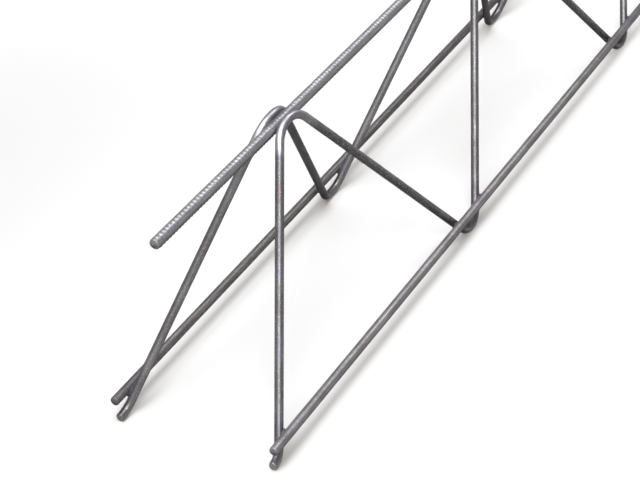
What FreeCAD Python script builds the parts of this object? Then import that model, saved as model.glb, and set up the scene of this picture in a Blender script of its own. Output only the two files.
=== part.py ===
import FreeCAD, Part
import math
import os

import Sketcher

# A lattice girder of five round steel bars: one top chord, two bottom chords, and two diagonals bent into
# zigzags that lean together. X runs along the girder and Z is up. The origin lies on the floor under the
# middle of the girder, which stands on the valley bends of its diagonals.

doc = FreeCAD.newDocument("lattice_girder")

# Sizes in millimetres: first the ones to set, then the ones that follow from them
SIZES = [
    ("girder_length", "500", "cut length of the diagonals and the bottom chords"),
    ("panel_length", "200", "one zigzag, from valley to valley"),
    ("girder_height", "119", "floor to the crests of the diagonals"),
    ("base_width", "90", "over the outsides of the bottom chords"),
    ("top_chord_diameter", "5.6", "top chord"),
    ("bottom_chord_diameter", "4.6", "both bottom chords"),
    ("diagonal_diameter", "4.2", "both diagonals"),
    ("peak_bend_radius", "15", "centre line of the bends at the top chord"),
    ("valley_bend_radius", "11", "centre line of the bends under the bottom chords"),
    ("peak_rise", "2", "crest of a bend's centre line above the axis of the top chord"),
    ("valley_drop", "9.2", "lowest point of a bend's centre line below the axes of the bottom chords"),
    ("weld_set_down", "0.2", "depth to which the welds press a diagonal into a chord"),
    ("top_chord_overhang", "4.5", "top chord past each end of the other bars"),
]
FOLLOWING = [
    ("panel_count", "=floor(girder_length / panel_length) + 2", "zigzags, before both ends are sheared"),
    ("bottom_axis_height", "=valley_drop + diagonal_diameter / 2", "bottom chords above the floor"),
    ("top_axis_height", "=girder_height - peak_rise - diagonal_diameter / 2", "top chord above the floor"),
    ("axis_rise", "=top_axis_height - bottom_axis_height", "top chord above the bottom chords"),
    ("axis_offset", "=(base_width - bottom_chord_diameter) / 2", "bottom chord from the middle"),
    ("top_seat", "=(top_chord_diameter + diagonal_diameter) / 2 - weld_set_down", "chord to diagonal"),
    ("bottom_seat", "=(bottom_chord_diameter + diagonal_diameter) / 2 - weld_set_down", "chord to diagonal"),
    ("lean", "=acos((top_seat + bottom_seat) / sqrt(axis_offset ^ 2 + axis_rise ^ 2))"
             " - atan2(axis_rise; axis_offset)", "of a diagonal's plane, from upright"),
    ("plane_offset", "=axis_offset - bottom_seat / cos(lean)", "that plane from the middle, at bottom axes"),
    ("crest_up", "=(axis_rise + peak_rise) / cos(lean)", "up the plane from the bottom axes to a crest"),
    ("valley_down", "=valley_drop / cos(lean)", "down the plane from the bottom axes to a valley"),
]
sheet = doc.addObject("Spreadsheet::Sheet", "sizes")
for row, (alias, entry, meaning) in enumerate(SIZES + FOLLOWING, start=1):
    sheet.set("A%d" % row, meaning)
    sheet.set("B%d" % row, entry)
    sheet.setAlias("B%d" % row, alias)
doc.recompute()


def size(alias):
    """The value of a named size as a plain number."""
    entry = sheet.get(alias)
    return float(getattr(entry, "Value", entry))


def new_sketch(body, name, plane):
    """An empty sketch on one of the planes of a body's origin."""
    sketch = body.newObject("Sketcher::SketchObject", name)
    support = next(f for f in body.Origin.OriginFeatures if f.Role == plane)
    sketch.AttachmentSupport = (support, [""])
    sketch.MapMode = "FlatFace"
    return sketch


def dimension(sketch, kind, *where, to):
    """A dimension in a sketch, bound to an expression of named sizes."""
    index = sketch.addConstraint(Sketcher.Constraint(kind, *where))
    sketch.setExpression("Constraints[%d]" % index, to)


def circle_sketch(body, name, diameter, expression):
    """A circle across the body's own X axis."""
    sketch = new_sketch(body, name, "YZ_Plane")
    sketch.addGeometry(Part.Circle(FreeCAD.Vector(), FreeCAD.Vector(0, 0, 1), diameter / 2), False)
    sketch.addConstraint(Sketcher.Constraint("Coincident", 0, 3, -1, 1))
    dimension(sketch, "Diameter", 0, diameter, to=expression)
    return sketch


def make_bar(name, diameter, length, across, height):
    """A straight bar along X, sheared square at both ends."""
    body = doc.addObject("PartDesign::Body", name)
    bar = body.newObject("PartDesign::Pad", name + "_pad")
    bar.Profile = circle_sketch(body, name + "_rim", size(diameter), "sizes." + diameter)
    bar.SideType = "Symmetric"
    bar.setExpression("Length", length)
    body.Tip = bar
    body.setExpression("Placement.Base.y", across)
    body.setExpression("Placement.Base.z", height)
    return body


def panel_sketch(body, name):
    """The centre line of a panel: from the middle of a leg, over a peak and through the valley at X = 0."""
    pitch = size("panel_length")
    peak_radius = size("peak_bend_radius")
    valley_radius = size("valley_bend_radius")
    lowest = FreeCAD.Vector(0, -size("valley_down"), 0)
    valley = lowest + FreeCAD.Vector(0, valley_radius, 0)
    peak = FreeCAD.Vector(-pitch / 2, size("crest_up") - peak_radius, 0)

    # A leg touches the two bends on opposite sides, which sets its slope.
    run = valley - peak
    slope = math.atan2(-run.y, run.x) + math.asin((peak_radius + valley_radius) / run.Length)

    def bend(centre, radius, middle):
        circle = Part.Circle(centre, FreeCAD.Vector(0, 0, 1), radius)
        return Part.ArcOfCircle(circle, middle - slope, middle + slope)

    def along_leg(point, x):
        return point + FreeCAD.Vector(x - point.x, (x - point.x) * math.tan(slope), 0)

    over = bend(peak, peak_radius, math.pi / 2)
    under = bend(valley, valley_radius, -math.pi / 2)
    rising = Part.LineSegment(along_leg(over.EndPoint, -0.75 * pitch), over.EndPoint)
    falling = Part.LineSegment(over.StartPoint, under.StartPoint)
    leaving = Part.LineSegment(under.EndPoint, along_leg(under.EndPoint, 0.25 * pitch))
    sketch = new_sketch(body, name, "XY_Plane")
    sketch.addGeometry([rising, over, falling, under, leaving], False)
    sketch.addGeometry(Part.Point(lowest), True)

    # Points are numbered 1 start, 2 end and 3 centre; -1 and -2 are the sketch's own axes.
    for ends in ((0, 2, 1, 2), (1, 1, 2, 1), (2, 2, 3, 1), (3, 2, 4, 1)):
        sketch.addConstraint(Sketcher.Constraint("Tangent", *ends))
    for point, curve in (((3, 3), -2), ((5, 1), -2), ((5, 1), 3)):
        sketch.addConstraint(Sketcher.Constraint("PointOnObject", *point, curve))
    sketch.addConstraint(Sketcher.Constraint("Horizontal", 3, 1, 3, 2))
    sketch.addConstraint(Sketcher.Constraint("Parallel", 0, 4))
    dimension(sketch, "Radius", 1, peak_radius, to="sizes.peak_bend_radius")
    dimension(sketch, "Radius", 3, valley_radius, to="sizes.valley_bend_radius")
    dimension(sketch, "DistanceY", 5, 1, -1, 1, -lowest.y, to="sizes.valley_down")
    dimension(sketch, "DistanceY", -1, 1, 1, 3, peak.y, to="sizes.crest_up - sizes.peak_bend_radius")
    dimension(sketch, "DistanceX", 1, 3, -1, 1, pitch / 2, to="sizes.panel_length / 2")
    dimension(sketch, "DistanceX", 0, 1, -1, 1, 0.75 * pitch, to="0.75 * sizes.panel_length")
    dimension(sketch, "DistanceX", -1, 1, 4, 2, 0.25 * pitch, to="0.25 * sizes.panel_length")
    return sketch


def shear_off(body, name, at, beyond):
    """Shears a body square across its own X axis; what lies beyond the blade goes, or else what is before."""
    blade = circle_sketch(body, name + "_blade", 4 * size("girder_height"), "4 * sizes.girder_height")
    blade.setExpression("AttachmentOffset.Base.z", at)
    shear = body.newObject("PartDesign::Pocket", name)
    shear.Profile = blade
    shear.Type = "ThroughAll"
    shear.Reversed = beyond
    body.Tip = shear
    doc.recompute()


def make_diagonal(name, side):
    """A bar bent into zigzags in a leaning plane: its own X is along the girder, its own Y up the plane."""
    body = doc.addObject("PartDesign::Body", name)
    path = panel_sketch(body, name + "_path")
    doc.recompute()
    rim = circle_sketch(body, name + "_rim", size("diagonal_diameter"), "sizes.diagonal_diameter")
    rim.AttachmentSupport = [(path, "Edge1")]
    rim.MapMode = "NormalToEdge"
    panel = body.newObject("PartDesign::AdditivePipe", name + "_panel")
    panel.Profile = rim
    panel.Spine = (path, [""])
    body.Tip = panel
    doc.recompute()

    zigzag = body.newObject("PartDesign::LinearPattern", name + "_zigzag")
    zigzag.Originals = [panel]
    zigzag.Direction = (path, ["H_Axis"])
    zigzag.setExpression("Length", "(sizes.panel_count - 1) * sizes.panel_length")
    zigzag.setExpression("Occurrences", "sizes.panel_count")
    body.Tip = zigzag
    doc.recompute()
    shear_off(body, name + "_start", "0", False)
    shear_off(body, name + "_finish", "sizes.girder_length", True)

    place = "vector(-sizes.girder_length / 2; %d * sizes.plane_offset; sizes.bottom_axis_height)" % side
    turn = "rotation(vector(1; 0; 0); 90 deg + %d * sizes.lean)" % side
    body.setExpression("Placement", "placement(%s; %s)" % (place, turn))
    doc.recompute()
    return body


def press_seats(name, bar, diagonals):
    """The finished chord: its bar with the hollows that the welds press the diagonals into."""
    chord = bar
    for diagonal in diagonals:
        pressed = doc.addObject("Part::Cut", "%s_with_%s" % (name, diagonal.Name))
        pressed.Base = chord
        pressed.Tool = diagonal
        chord = pressed
    chord.Label = name
    return chord


left = make_diagonal("diagonal_left", 1)
right = make_diagonal("diagonal_right", -1)
top_length = "sizes.girder_length + 2 * sizes.top_chord_overhang"
top_bar = make_bar("top_bar", "top_chord_diameter", top_length, "0", "sizes.top_axis_height")
low = ("bottom_chord_diameter", "sizes.girder_length")
left_bar = make_bar("left_bar", *low, "sizes.axis_offset", "sizes.bottom_axis_height")
right_bar = make_bar("right_bar", *low, "-sizes.axis_offset", "sizes.bottom_axis_height")
parts = [
    press_seats("top_chord", top_bar, [left, right]),
    press_seats("bottom_chord_left", left_bar, [left]),
    press_seats("bottom_chord_right", right_bar, [right]),
    left,
    right,
]
doc.recompute()

for thing in doc.Objects:
    if {"Invalid", "Error"} & set(thing.State):
        raise RuntimeError("%s did not compute" % thing.Name)
for part in parts:
    if part.Shape.isNull() or not part.Shape.isValid() or len(part.Shape.Solids) != 1:
        raise RuntimeError("%s is not one sound solid" % part.Label)
os.makedirs("parts", exist_ok=True)
for part in parts:
    part.Shape.exportStep("parts/%s.step" % part.Label)
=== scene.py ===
import math

import bmesh
import bpy
from mathutils import Matrix, Vector


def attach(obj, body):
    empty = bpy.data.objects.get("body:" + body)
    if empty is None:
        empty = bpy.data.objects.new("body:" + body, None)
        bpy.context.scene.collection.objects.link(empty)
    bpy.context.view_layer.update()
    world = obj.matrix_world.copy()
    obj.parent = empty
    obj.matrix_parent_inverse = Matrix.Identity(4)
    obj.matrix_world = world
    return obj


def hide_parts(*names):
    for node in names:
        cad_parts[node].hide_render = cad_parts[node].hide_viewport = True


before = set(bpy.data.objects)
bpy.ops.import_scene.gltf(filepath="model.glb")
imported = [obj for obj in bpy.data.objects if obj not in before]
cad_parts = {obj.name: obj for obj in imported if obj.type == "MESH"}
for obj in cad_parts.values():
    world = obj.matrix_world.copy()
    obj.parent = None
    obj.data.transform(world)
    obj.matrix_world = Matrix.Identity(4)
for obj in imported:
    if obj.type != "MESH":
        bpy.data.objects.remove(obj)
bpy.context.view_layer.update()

# Sizes of the girder in metres
MM = 0.001
LENGTH = 500 * MM
PANEL = 200 * MM
HEIGHT = 119 * MM
BASE_WIDTH = 90 * MM
TOP_RADIUS = 2.8 * MM
LOW_RADIUS = 2.3 * MM
BENT_RADIUS = 2.1 * MM
PEAK_BEND = 15 * MM
VALLEY_BEND = 11 * MM
PEAK_RISE = 2 * MM
VALLEY_DROP = 9.2 * MM
SET_DOWN = 0.2 * MM
OVERHANG = 4.5 * MM
START = -LENGTH / 2

# What follows from them: heights of the chords, and the leaning plane of a diagonal
LOW_Z = VALLEY_DROP + BENT_RADIUS
TOP_Z = HEIGHT - PEAK_RISE - BENT_RADIUS
AXIS_RISE = TOP_Z - LOW_Z
LOW_Y = BASE_WIDTH / 2 - LOW_RADIUS
TOP_SEAT = TOP_RADIUS + BENT_RADIUS - SET_DOWN
LOW_SEAT = LOW_RADIUS + BENT_RADIUS - SET_DOWN
BETWEEN_CHORDS = math.hypot(LOW_Y, AXIS_RISE)
LEAN = math.acos((TOP_SEAT + LOW_SEAT) / BETWEEN_CHORDS) - math.atan2(AXIS_RISE, LOW_Y)
PLANE_Y = LOW_Y - LOW_SEAT / math.cos(LEAN)
CREST_UP = (AXIS_RISE + PEAK_RISE) / math.cos(LEAN)
VALLEY_DOWN = VALLEY_DROP / math.cos(LEAN)

# In that plane, from a valley: the middles of the two bends, the slope and length of the leg
# between them, and the height at which the leg's middle line would meet the valley's upright
LOW_BEND = Vector((0, VALLEY_BEND - VALLEY_DOWN, 0))
HIGH_BEND = Vector((PANEL / 2, CREST_UP - PEAK_BEND, 0))
BETWEEN_BENDS = HIGH_BEND - LOW_BEND
BOTH_BENDS = PEAK_BEND + VALLEY_BEND
STEEPNESS = math.atan2(BETWEEN_BENDS.y, BETWEEN_BENDS.x)
SLOPE = STEEPNESS + math.asin(BOTH_BENDS / BETWEEN_BENDS.length)
LEG = math.sqrt(BETWEEN_BENDS.length ** 2 - BOTH_BENDS ** 2)
LEG_FOOT = LOW_BEND.y - VALLEY_BEND / math.cos(SLOPE)

# The middle of a peak's bend above the floor
PEAK_CENTRE_Z = LOW_Z + HIGH_BEND.y * math.cos(LEAN)

# How far along the girder from a valley a leg touches a bottom chord
LOW_TOUCH_UP = -LOW_SEAT * math.tan(LEAN)
LEG_START_UP = LOW_BEND.y - VALLEY_BEND * math.cos(SLOPE)
LOW_WELD = VALLEY_BEND * math.sin(SLOPE) + (LOW_TOUCH_UP - LEG_START_UP) / math.tan(SLOPE)

# Points nearer than this are taken to be in the same place.
SAME_PLACE = 0.01 * MM

ALONG_X = (0, math.pi / 2, 0)


def deselect():
    """Leaves object mode with nothing selected."""
    if bpy.context.mode != "OBJECT":
        bpy.ops.object.mode_set(mode="OBJECT")
    bpy.ops.object.select_all(action="DESELECT")


def only(piece):
    """Selects one piece and makes it the active one."""
    deselect()
    piece.select_set(True)
    bpy.context.view_layer.objects.active = piece


def pick(piece, mode, chosen):
    """In edit mode, selects the verts, edges or faces of which the test accepts every corner."""
    bpy.ops.mesh.select_mode(type=mode)
    bpy.ops.mesh.select_all(action="DESELECT")
    mesh = bmesh.from_edit_mesh(piece.data)
    items = {"VERT": mesh.verts, "EDGE": mesh.edges, "FACE": mesh.faces}[mode]
    for item in items:
        corners = [item] if mode == "VERT" else item.verts
        if all(chosen(v.co) for v in corners):
            item.select_set(True)
    mesh.select_flush_mode()
    bmesh.update_edit_mesh(piece.data)


def pick_at(piece, mode, x):
    """In edit mode, selects what lies in one plane across the girder."""
    pick(piece, mode, lambda co: abs(co.x - x) < SAME_PLACE)


def apply_modifier(piece, name, kind, **settings):
    """Adds a modifier with its settings and applies it."""
    only(piece)
    modifier = piece.modifiers.new(name, kind)
    for key, value in settings.items():
        setattr(modifier, key, value)
    bpy.ops.object.modifier_apply(modifier=modifier.name)


# The sheared ends of the bars
END_ROUNDING = 0.8 * MM
END_STEPS = 5
END_RIM = 0.35 * MM
END_DISH = 0.06 * MM
END_MIDDLE = 0.6 * MM


def shear_ends(piece, ends):
    """Closes the open ends of a bar, rounds their rims and dishes the sheared faces a little."""
    bpy.ops.mesh.select_mode(type="EDGE")
    bpy.ops.mesh.select_all(action="SELECT")
    bpy.ops.mesh.remove_doubles(threshold=SAME_PLACE / 2)
    bpy.ops.mesh.fill_holes(sides=0)
    bpy.ops.mesh.normals_make_consistent(inside=False)
    for x in ends:
        pick_at(piece, "EDGE", x)
        bpy.ops.mesh.bevel(offset=END_ROUNDING, segments=END_STEPS, affect="EDGES")
        pick_at(piece, "FACE", x)
        bpy.ops.mesh.inset(thickness=END_RIM)
        bpy.ops.transform.translate(value=(-END_DISH * math.copysign(1, x), 0, 0))
        bpy.ops.mesh.inset(thickness=END_MIDDLE)


def finish_shape(piece, angle):
    """Applies a piece's place to its mesh and shades it smooth except where it turns sharply."""
    only(piece)
    bpy.ops.object.transform_apply(location=True, rotation=True, scale=True)
    bpy.ops.object.shade_smooth_by_angle(angle=math.radians(angle))


# The bent diagonals
BENT_SIDES = 40
BEND_STEPS = 22
BENT_SHARP = 35


def bent_bar(name, side):
    """A diagonal: a rim spun through the bends and pushed along the legs, then leaned over."""
    deselect()
    bpy.ops.mesh.primitive_circle_add(vertices=BENT_SIDES, radius=BENT_RADIUS, rotation=ALONG_X)
    bar = bpy.context.object
    bar.name = name
    bar.location = (0, -VALLEY_DOWN, 0)
    bpy.ops.object.transform_apply(location=True, rotation=True)
    bpy.ops.object.mode_set(mode="EDIT")
    bpy.ops.mesh.select_all(action="SELECT")
    last = round(LENGTH / (PANEL / 2))
    for bend in range(last + 1):
        at_peak = bend % 2 == 1
        centre = (HIGH_BEND if at_peak else LOW_BEND) + Vector((PANEL * (bend // 2), 0, 0))
        half = bend in (0, last)
        angle = SLOPE * (1 if half else 2)
        steps = BEND_STEPS // 2 if half else BEND_STEPS
        axis = (0, 0, 1 if at_peak else -1)
        bpy.ops.mesh.spin(steps=steps, angle=angle, center=centre, axis=axis)
        if bend < last:
            rise = -1 if at_peak else 1
            along = (LEG * math.cos(SLOPE), rise * LEG * math.sin(SLOPE), 0)
            bpy.ops.mesh.extrude_region_move(TRANSFORM_OT_translate={"value": along})
    bpy.ops.mesh.select_all(action="SELECT")
    bpy.ops.transform.translate(value=(START, 0, 0))
    shear_ends(bar, (START, -START))
    deselect()
    bar.rotation_euler.x = math.pi / 2 + side * LEAN
    bar.location = (0, side * PLANE_Y, LOW_Z)
    finish_shape(bar, BENT_SHARP)
    return bar


# The ribbed chords: the ribs stand in three rows, turned about the bar from its top.
CHORD_SIDES = 48
CHORD_SHARP = 50
PLAIN_END = 1 * MM
HALF_ROW = math.pi / 3
RIB_REACH = 0.8
RIB_STEPS = 8
TOP_CREST = TOP_RADIUS + 0.05 * MM
TOP_RIB = 0.28 * MM
TOP_PITCH = 2.4 * MM
TOP_TURN = -0.3
LOW_RIB = 0.04 * MM
LOW_PITCH = 4.1 * MM
LOW_TURN = 0.4


def ribbed_bar(name, radius, height, pitch, length, place, turn):
    """A chord: a rib's length of bar with its crescent ribs, repeated, and sheared ends."""
    deselect()
    count = int((length - 2 * PLAIN_END) / pitch)
    bpy.ops.mesh.primitive_cylinder_add(
        vertices=CHORD_SIDES, radius=radius - height, depth=pitch, end_fill_type="NOTHING",
        rotation=ALONG_X)
    bar = bpy.context.object
    bar.name = name
    bpy.ops.object.transform_apply(location=True, rotation=True)
    bpy.ops.object.mode_set(mode="EDIT")
    for step in range(1, RIB_STEPS):
        bpy.ops.mesh.select_all(action="SELECT")
        x = pitch * (step / RIB_STEPS - 0.5)
        bpy.ops.mesh.bisect(plane_co=(x, 0, 0), plane_no=(1, 0, 0))
    bpy.ops.object.mode_set(mode="OBJECT")

    # How far each point of the surface rises towards the top of its rib
    ribs = bar.vertex_groups.new(name="ribs")
    for vert in bar.data.vertices:
        across = abs(vert.co.x) / (pitch / 2)
        around = math.atan2(vert.co.y, vert.co.z) - turn
        row = abs((around + HALF_ROW) % (2 * HALF_ROW) - HALF_ROW) / HALF_ROW
        crown = 0.5 + 0.5 * math.cos(math.pi * across)
        taper = max(0.0, 1 - (row / RIB_REACH) ** 2)
        ribs.add([vert.index], crown * taper, "REPLACE")
    apply_modifier(bar, "Ribs", "DISPLACE", strength=height, mid_level=0, vertex_group="ribs")
    bar.vertex_groups.clear()
    apply_modifier(bar, "Length", "ARRAY", count=count, use_relative_offset=False,
                   use_constant_offset=True, constant_offset_displace=(pitch, 0, 0),
                   use_merge_vertices=True, merge_threshold=SAME_PLACE)

    # Plain ends bring the bar to its length.
    bpy.ops.object.mode_set(mode="EDIT")
    bpy.ops.mesh.select_all(action="SELECT")
    bpy.ops.transform.translate(value=(-(count - 1) * pitch / 2, 0, 0))
    half = count * pitch / 2
    for sign in (-1, 1):
        pick_at(bar, "EDGE", sign * half)
        along = (sign * (length / 2 - half), 0, 0)
        bpy.ops.mesh.extrude_region_move(TRANSFORM_OT_translate={"value": along})
    shear_ends(bar, (-length / 2, length / 2))
    deselect()
    bar.location = place
    finish_shape(bar, CHORD_SHARP)
    return bar


def low_chord(name, side):
    """A bottom chord, on the left for side 1 and on the right for side -1."""
    place = (0, side * LOW_Y, LOW_Z)
    return ribbed_bar(name, LOW_RADIUS, LOW_RIB, LOW_PITCH, LENGTH, place, side * LOW_TURN)


top_chord = ribbed_bar("top_chord_ribbed", TOP_CREST, TOP_RIB, TOP_PITCH, LENGTH + 2 * OVERHANG,
                       (0, 0, TOP_Z), TOP_TURN)
left_chord = low_chord("bottom_chord_left_bar", 1)
right_chord = low_chord("bottom_chord_right_bar", -1)
left_diagonal = bent_bar("diagonal_left_bar", 1)
right_diagonal = bent_bar("diagonal_right_bar", -1)

# Metal squeezed out of the welds: length, width and thickness
LEG_WELD = (8 * MM, 2.9 * MM, 2.0 * MM)
CREST_WELD = (15 * MM, 2.6 * MM, 1.7 * MM)
WELD_SHARP = 60
WELD_SEED = 3
WAIST_REACH = 0.35
WAIST = (1, 0.8, 0.9)
KNOBBLES = 0.07
VALLEYS = 3
WHOLE_PEAKS = 2


def weld_rim(name, size):
    """A lens, thinner in the middle, with a knobbly edge."""
    deselect()
    bpy.ops.mesh.primitive_uv_sphere_add(segments=24, ring_count=12, radius=1, rotation=ALONG_X)
    rim = bpy.context.object
    rim.name = name
    bpy.ops.object.transform_apply(rotation=True)
    bpy.ops.object.mode_set(mode="EDIT")
    pick(rim, "VERT", lambda co: abs(co.x) < WAIST_REACH)
    bpy.ops.transform.resize(value=WAIST, center_override=(0, 0, 0))
    bpy.ops.mesh.select_all(action="SELECT")
    bpy.ops.mesh.vertices_smooth(factor=0.5, repeat=2)
    bpy.ops.transform.vertex_random(offset=KNOBBLES, uniform=0.0, normal=0.6, seed=WELD_SEED)
    bpy.ops.mesh.vertices_smooth(factor=0.3, repeat=1)
    bpy.ops.transform.resize(value=[across / 2 for across in size], center_override=(0, 0, 0))
    deselect()
    apply_modifier(rim, "Smooth", "SUBSURF", levels=1, render_levels=1)
    return rim


def copy_to(model, place, along, outward, flip):
    """A copy with a mesh of its own: its length along one direction, its thickness another."""
    copy = model.copy()
    copy.data = model.data.copy()
    bpy.context.scene.collection.objects.link(copy)
    x = Vector(along).normalized()
    z = Vector(outward).normalized()
    turned = Matrix((x, z.cross(x), z)).transposed().to_4x4()
    half_turn = Matrix.Rotation(math.pi if flip else 0, 4, "Z")
    copy.matrix_world = Matrix.Translation(place) @ turned @ half_turn
    return copy


# Welds where the legs pass the bottom chords, and along the whole crests at the top chord
leg_weld = weld_rim("leg_weld", LEG_WELD)
crest_weld = weld_rim("crest_weld", CREST_WELD)
welds = []
for side in (1, -1):
    outward = Vector((0, side * math.cos(LEAN), math.sin(LEAN)))
    up_plane = Vector((0, -side * math.sin(LEAN), math.cos(LEAN)))
    low_touch = Vector((0, side * LOW_Y, LOW_Z)) - outward * (LOW_RADIUS - SET_DOWN / 2)
    top_touch = Vector((0, 0, TOP_Z)) + outward * (TOP_RADIUS - SET_DOWN / 2)
    for valley in range(VALLEYS):
        for way in (-1, 1):
            x = START + PANEL * valley + way * LOW_WELD
            if x < START:
                continue
            bisector = Vector((math.cos(SLOPE / 2), 0, 0)) + way * math.sin(SLOPE / 2) * up_plane
            place = low_touch + Vector((x, 0, 0))
            welds.append(copy_to(leg_weld, place, bisector, outward, valley == 1))
    for peak in range(WHOLE_PEAKS):
        place = top_touch + Vector((START + PANEL * (peak + 0.5), 0, 0))
        welds.append(copy_to(crest_weld, place, (1, 0, 0), outward, peak == 1))
only(leg_weld)
crest_weld.select_set(True)
bpy.ops.object.delete()
only(welds[0])
for weld in welds:
    weld.select_set(True)
bpy.ops.object.join()
weld_rims = bpy.context.object
weld_rims.name = "weld_rims"
finish_shape(weld_rims, WELD_SHARP)


class Value:
    """A node's output, with arithmetic that adds Math nodes to the same material."""

    def __init__(self, finish, socket):
        self.finish = finish
        self.socket = socket

    def math(self, operation, *others):
        return self.finish.node("ShaderNodeMath", {"operation": operation}, self, *others)

    def __add__(self, other):
        return self.math("ADD", other)

    def __mul__(self, other):
        return self.math("MULTIPLY", other)

    def __sub__(self, other):
        return self.math("SUBTRACT", other)

    def __rsub__(self, other):
        return self.finish.node("ShaderNodeMath", {"operation": "SUBTRACT"}, other, self)

    __radd__ = __add__
    __rmul__ = __mul__

    def __abs__(self):
        return self.math("ABSOLUTE")

    def between(self, low, high):
        """0 below low, 1 above high, smooth between; turned round where low is the higher."""
        settings = {"interpolation_type": "SMOOTHSTEP"}
        return self.finish.node("ShaderNodeMapRange", settings, self, low, high)


# A Mix node has sockets for each type of data; these numbers are those of its colours.
MIX_FACTOR, MIX_ONE, MIX_OTHER, MIX_RESULT = 0, 6, 7, 2


class Finish:
    """A material, and the one method that adds a node to it."""

    def __init__(self, name):
        self.material = bpy.data.materials.new(name)
        self.material.use_nodes = True
        self.tree = self.material.node_tree
        self.tree.nodes.clear()

    def node(self, kind, settings=None, *inputs, out=0, at=None, **named):
        """Adds a node: settings first, then its sockets in order, by number in at, or by name."""
        made = self.tree.nodes.new(kind)
        for key, value in (settings or {}).items():
            setattr(made, key, value)
        wanted = list(enumerate(inputs)) + list((at or {}).items())
        wanted += [(key.replace("_", " "), value) for key, value in named.items()]
        for key, value in wanted:
            if isinstance(value, Value):
                self.tree.links.new(value.socket, made.inputs[key])
            else:
                made.inputs[key].default_value = value
        return Value(self, made.outputs[out]) if made.outputs else None

    def mix(self, factor, one, other):
        """One colour turning into another as the factor goes from 0 to 1."""
        sockets = {MIX_FACTOR: factor, MIX_ONE: one, MIX_OTHER: other}
        return self.node("ShaderNodeMix", {"data_type": "RGBA"}, out=MIX_RESULT, at=sockets)


# Colours of the film on each bar, of what breaks it, and of painted shade
TOP_FILM = (0.39, 0.388, 0.398, 1)
# Painted shade: the left bottom chord is the same steel as the right one, with its film made
# darker to stand in for shade
LEFT_FILM_SHADED = (0.128, 0.117, 0.110, 1)
RIGHT_FILM = (0.235, 0.226, 0.224, 1)
BENT_FILM = (0.20, 0.195, 0.196, 1)
FILM_DARK = (0.100, 0.090, 0.085, 1)
BARE_STEEL = (0.72, 0.71, 0.74, 1)
RUST = (0.16, 0.122, 0.100, 1)
BURNT = (0.090, 0.085, 0.105, 1)
# Painted shade: the colour the bars darken to on their undersides
UNDERSIDE_SHADE = (0.030, 0.027, 0.026, 1)
EDGE_TINT = (0.35, 0.35, 0.36, 1)

# Sizes of the marks on the steel, and ranges over which they fade
BLOTCH_SIZE = 14 * MM
RUST_SIZE = 6 * MM
BURN_SIZE = 3 * MM
SPECK_SIZE = 0.7 * MM
SCORE_SIZE = 0.35 * MM
LOW_BURN_ALONG = (7 * MM, 2 * MM)
LOW_BURN_HEIGHT = (24 * MM, 15 * MM)
TOP_BURN_ALONG = (PANEL / 2 - 12 * MM, PANEL / 2 - 7 * MM)
TOP_BURN_HEIGHT = (106 * MM, 111 * MM)
BEND_OUTSIDE = (PEAK_BEND - 0.5 * MM, PEAK_BEND + BENT_RADIUS)
BEND_FLAKED = (4 * MM, 9 * MM)
# Heights over a peak's middle over which the painted underside shade fades out
UNDERSIDE_ENDS = (7 * MM, 0)


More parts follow.
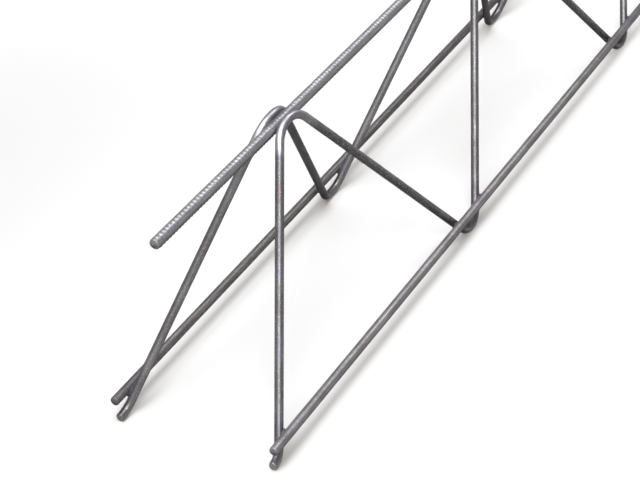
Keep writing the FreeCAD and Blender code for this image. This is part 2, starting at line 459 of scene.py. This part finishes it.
def bar_steel(name, film, shine, dullness, stretch, ribs=None):
    """Bar with a dull grey film: blotched, rubbed bare in specks and lines, burnt at welds, and
    darkened towards its underside as painted shade.

    A chord gives the axis, radius and depth of its ribs, and how much they show; a diagonal none.
    """
    steel = Finish(name)
    place = steel.node("ShaderNodeTexCoord", out="Object")

    def noise(size, detail, roughness=0.5, along=None):
        where = steel.node("ShaderNodeMapping", {}, place, Scale=along) if along else place
        return steel.node("ShaderNodeTexNoise", {}, Vector=where, Scale=1 / size, Detail=detail,
                          Roughness=roughness)

    blotch = noise(BLOTCH_SIZE, 3.0)
    speckle = noise(SPECK_SIZE, 4.0, 0.6)
    scoring = noise(SCORE_SIZE, 2.0, along=stretch)
    rusting = noise(RUST_SIZE, 5.0, 0.65).between(0.56, 0.72)
    x, z = (steel.node("ShaderNodeSeparateXYZ", {}, place, out=axis) for axis in "XZ")

    # Distance along the girder from the nearest valley, and the heat marks at the welds
    from_valley = (x - START).math("PINGPONG", PANEL / 2)
    low_weld = abs(from_valley - LOW_WELD).between(*LOW_BURN_ALONG) * z.between(*LOW_BURN_HEIGHT)
    top_weld = from_valley.between(*TOP_BURN_ALONG) * z.between(*TOP_BURN_HEIGHT)
    burnt = low_weld.math("MAXIMUM", top_weld) * (0.1 + 0.4 * noise(BURN_SIZE, 3.0))

    bare = speckle.between(0.54, 0.78) * 0.4 + scoring.between(0.52, 0.8) * 0.4
    relief = 0.5 * speckle + 0.3 * scoring + 0.2 * blotch
    grime = blotch.between(0.66, 0.34) * 0.5
    if ribs:
        # Grime stays in the hollows between the ribs, and the rib tops are rubbed bare.
        axis_y, axis_z, radius, depth, strength = ribs
        sideways = steel.node("ShaderNodeSeparateXYZ", {}, place, out="Y") - axis_y
        upwards = z - axis_z
        reach = (sideways * sideways + upwards * upwards).math("SQRT")
        hollow = reach.between(radius - 0.3 * depth, radius - depth)
        grime = grime.math("MAXIMUM", hollow * strength)
        bare = bare + reach.between(radius - 0.35 * depth, radius) * (0.9 * strength)
        # Painted shade: the chord darkens towards its underside.
        under = upwards.between(0.5 * radius, -0.4 * radius)
    else:
        # The film has flaked off where a peak's bend is stretched, on its outer side.
        from_centre = PANEL / 2 - from_valley
        rise = z - PEAK_CENTRE_Z
        around = (from_centre * from_centre + rise * rise).math("SQRT")
        bare = bare + around.between(*BEND_OUTSIDE) * rise.between(*BEND_FLAKED) * 0.7

        # A point's height over the middle line of its leg shows where the leg's underside is,
        # which gets painted shade.
        climb = (z - LOW_Z) * (1 / math.cos(LEAN))
        over_leg = (climb - from_valley * math.tan(SLOPE) - LEG_FOOT) * math.cos(SLOPE)
        below = over_leg.between(0.6 * BENT_RADIUS, -0.4 * BENT_RADIUS)
        under = below * rise.between(*UNDERSIDE_ENDS)
    bare = bare * (1 - 0.7 * burnt)
    colour = steel.mix(grime, film, FILM_DARK)
    colour = steel.mix(rusting * 0.4, colour, RUST)
    colour = steel.mix(burnt, colour, BURNT)
    # Painted shade on the undersides
    colour = steel.mix(under * 0.8, colour, UNDERSIDE_SHADE)
    colour = steel.mix(bare, colour, BARE_STEEL)
    metal = shine + 0.2 * bare - 0.3 * rusting
    roughness = dullness + 0.08 * grime + 0.08 * rusting + 0.05 * blotch
    bump = steel.node("ShaderNodeBump", {}, Strength=0.25, Distance=0.05 * MM, Height=relief)
    shader = steel.node("ShaderNodeBsdfPrincipled", {}, Base_Color=colour, Metallic=metal,
                        Roughness=roughness, Normal=bump, Specular_Tint=EDGE_TINT)
    steel.node("ShaderNodeOutputMaterial", {}, shader)
    return steel.material


PATCH_SIZE = 2.5 * MM
GRAIN_SIZE = 0.5 * MM


def weld_metal(name):
    """Burnt metal squeezed out of a weld: dark and rough, blue in places, with brighter grains."""
    metal = Finish(name)
    place = metal.node("ShaderNodeTexCoord", out="Object")
    patches, grain = (
        metal.node("ShaderNodeTexNoise", {}, Vector=place, Scale=1 / size, Detail=3.0)
        for size in (PATCH_SIZE, GRAIN_SIZE))
    colour = metal.mix(patches.between(0.35, 0.65), FILM_DARK, BURNT)
    colour = metal.mix(grain.between(0.55, 0.75) * 0.6, colour, BENT_FILM)
    roughness = 0.38 + 0.2 * patches
    bump = metal.node("ShaderNodeBump", {}, Strength=0.6, Distance=0.12 * MM, Height=grain)
    shader = metal.node("ShaderNodeBsdfPrincipled", {}, Base_Color=colour, Metallic=0.6,
                        Roughness=roughness, Normal=bump, Specular_Tint=EDGE_TINT)
    metal.node("ShaderNodeOutputMaterial", {}, shader)
    return metal.material


def dress(piece, material, slot, *nodes):
    """Gives a piece its finish, and lets a bar stand for its CAD node; the slot is not used."""
    piece.data.materials.append(material)
    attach(piece, "root")
    if nodes:
        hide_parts(*nodes)


# How the score lines are stretched, and how metallic and how rough each bar is
LENGTHWAYS = (0.02, 1, 1)
EVERY_WAY = (0.6, 0.6, 0.6)
TOP_LOOK = (0.62, 0.34, LENGTHWAYS)
LOW_LOOK = (0.60, 0.42, LENGTHWAYS)
BENT_LOOK = (0.80, 0.39, EVERY_WAY)
TOP_RIBS = (0, TOP_Z, TOP_CREST, TOP_RIB, 0.5)
LEFT_RIBS = (LOW_Y, LOW_Z, LOW_RADIUS, LOW_RIB, 0.15)
RIGHT_RIBS = (-LOW_Y, LOW_Z, LOW_RADIUS, LOW_RIB, 0.15)
ribbed_steel = bar_steel("ribbed_steel", TOP_FILM, *TOP_LOOK, TOP_RIBS)
# The left chord's darker film is painted shade.
left_shaded_steel = bar_steel("left_chord_shaded_steel", LEFT_FILM_SHADED, *LOW_LOOK, LEFT_RIBS)
right_steel = bar_steel("right_chord_steel", RIGHT_FILM, *LOW_LOOK, RIGHT_RIBS)
drawn_steel = bar_steel("drawn_steel", BENT_FILM, *BENT_LOOK)
dress(top_chord, ribbed_steel, "ribbed_bar", "top_chord")
dress(left_chord, left_shaded_steel, "chord_bar", "bottom_chord_left")
dress(right_chord, right_steel, "chord_bar", "bottom_chord_right")
dress(left_diagonal, drawn_steel, "drawn_bar", "diagonal_left")
dress(right_diagonal, drawn_steel, "drawn_bar", "diagonal_right")
dress(weld_rims, weld_metal("weld_metal"), "drawn_bar")

# The floor, white to the camera and in reflections, where the girder's shadow falls
FLOOR_SIZE = 12
FLOOR_SEEN = (0.555, 0.575, 0.562, 1)
FLOOR_UNSEEN = (0.12, 0.12, 0.12, 1)
NEAR_GLOW = (0.09, 0.06, 0.03, 1)
FAR_GLOW = (0.97, 0.96, 0.95, 1)
GLOW_CENTRE = (-0.18, 0, 0)
GLOW_RANGE = (0.16, 0.80)
deselect()
bpy.ops.mesh.primitive_plane_add(size=FLOOR_SIZE)
floor = bpy.context.object
floor.name = "floor"
paper = Finish("floor_white")
looks = ("Is Camera Ray", "Is Glossy Ray", "Is Transmission Ray")
camera_ray, glossy_ray, clear_ray = (paper.node("ShaderNodeLightPath", out=look) for look in looks)
seen = (camera_ray + glossy_ray + clear_ray).math("MINIMUM", 1.0)
white = paper.node("ShaderNodeBsdfDiffuse", {}, paper.mix(seen, FLOOR_UNSEEN, FLOOR_SEEN))

# The lamps fade away from the near end, and the floor's own glow makes up for that.
place = paper.node("ShaderNodeTexCoord", out="Object")
measure = {"operation": "DISTANCE"}
distance = paper.node("ShaderNodeVectorMath", measure, place, GLOW_CENTRE, out="Value")
glow_colour = paper.mix(distance.between(*GLOW_RANGE), NEAR_GLOW, FAR_GLOW)
glow = paper.node("ShaderNodeEmission", {}, glow_colour, seen)
paper.node("ShaderNodeOutputMaterial", {}, paper.node("ShaderNodeAddShader", {}, white, glow))
floor.data.materials.append(paper.material)

# The room around it
ROOM_COLOUR = (0.93, 0.95, 1.0, 1)
ROOM_STRENGTH = 0.12
world = bpy.data.worlds.new("studio")
bpy.context.scene.world = world
world.use_nodes = True
world.node_tree.nodes["Background"].inputs["Color"].default_value = ROOM_COLOUR
world.node_tree.nodes["Background"].inputs["Strength"].default_value = ROOM_STRENGTH


def lamp(name, aim, direction, distance, length, width, brightness, spread, colour):
    """A soft lamp turned to a point; its power follows from how bright it looks from there."""
    light = bpy.data.lights.new(name, "AREA")
    light.shape = "RECTANGLE"
    light.size = length
    light.size_y = width
    light.spread = math.radians(spread)
    half = light.spread / 2
    light.energy = 4 * brightness * length * width * (1 - half / math.tan(half))
    light.color = colour
    holder = bpy.data.objects.new(name, light)
    bpy.context.scene.collection.objects.link(holder)
    outward = Vector(direction).normalized()
    sideways = outward.cross(Vector((1, 0, 0))).normalized()
    turned = Matrix((sideways.cross(outward), sideways, outward)).transposed().to_4x4()
    holder.matrix_world = Matrix.Translation(Vector(aim) + outward * distance) @ turned


# The lamps: aim, direction, distance, length, width, brightness, spread in degrees and colour
NEAR_END = (-0.20, 0, 0.06)
NEAR_RIGHT = (-0.20, -0.05, 0.01)
FIRST_PANEL = (-0.10, 0, 0.06)
COOL = (0.95, 0.945, 1.0)
WARM = (1.0, 0.98, 0.96)
lamp("front", FIRST_PANEL, (-0.50, -0.44, 0.745), 2.0, 1.6, 1.6, 11.5, 40, COOL)
lamp("key", FIRST_PANEL, (-0.20, -0.06, 0.98), 1.1, 1.3, 0.40, 11.0, 60, COOL)
lamp("left", FIRST_PANEL, (-0.15, 0.31, 0.94), 1.1, 1.2, 0.75, 4.6, 60, COOL)
lamp("back", NEAR_RIGHT, (0.684, -0.10, 0.68), 0.8, 0.42, 0.42, 10.5, 34, COOL)
lamp("fill", NEAR_END, (-0.81, -0.40, 0.43), 1.3, 0.9, 0.9, 0.5, 180, WARM)

# The camera, fitted to the bars in the photograph
PICTURE_WIDTH = 640
SENSOR_WIDTH = 36
FOCAL_PIXELS = 1918.3344
NEAREST = 0.01
AZIMUTH, ELEVATION, ROLL = 0.5802, 0.6128, -0.1110
STATION = (-0.76607, -0.41784, 0.56992)
level = Vector((math.cos(AZIMUTH), math.sin(AZIMUTH), 0))
ahead = math.cos(ELEVATION) * level - math.sin(ELEVATION) * Vector((0, 0, 1))
across = ahead.cross(Vector((0, 0, 1))).normalized()
upward = across.cross(ahead)
right = across * math.cos(ROLL) + upward * math.sin(ROLL)
up = upward * math.cos(ROLL) - across * math.sin(ROLL)
camera_data = bpy.data.cameras.new("camera")
camera_data.sensor_width = SENSOR_WIDTH
camera_data.lens = FOCAL_PIXELS * SENSOR_WIDTH / PICTURE_WIDTH
camera_data.clip_start = NEAREST
camera = bpy.data.objects.new("camera", camera_data)
bpy.context.scene.collection.objects.link(camera)
facing = Matrix((right, up, -ahead)).transposed().to_4x4()
camera.matrix_world = Matrix.Translation(STATION) @ facing
bpy.context.scene.camera = camera
bpy.context.scene.view_settings.view_transform = "Standard"
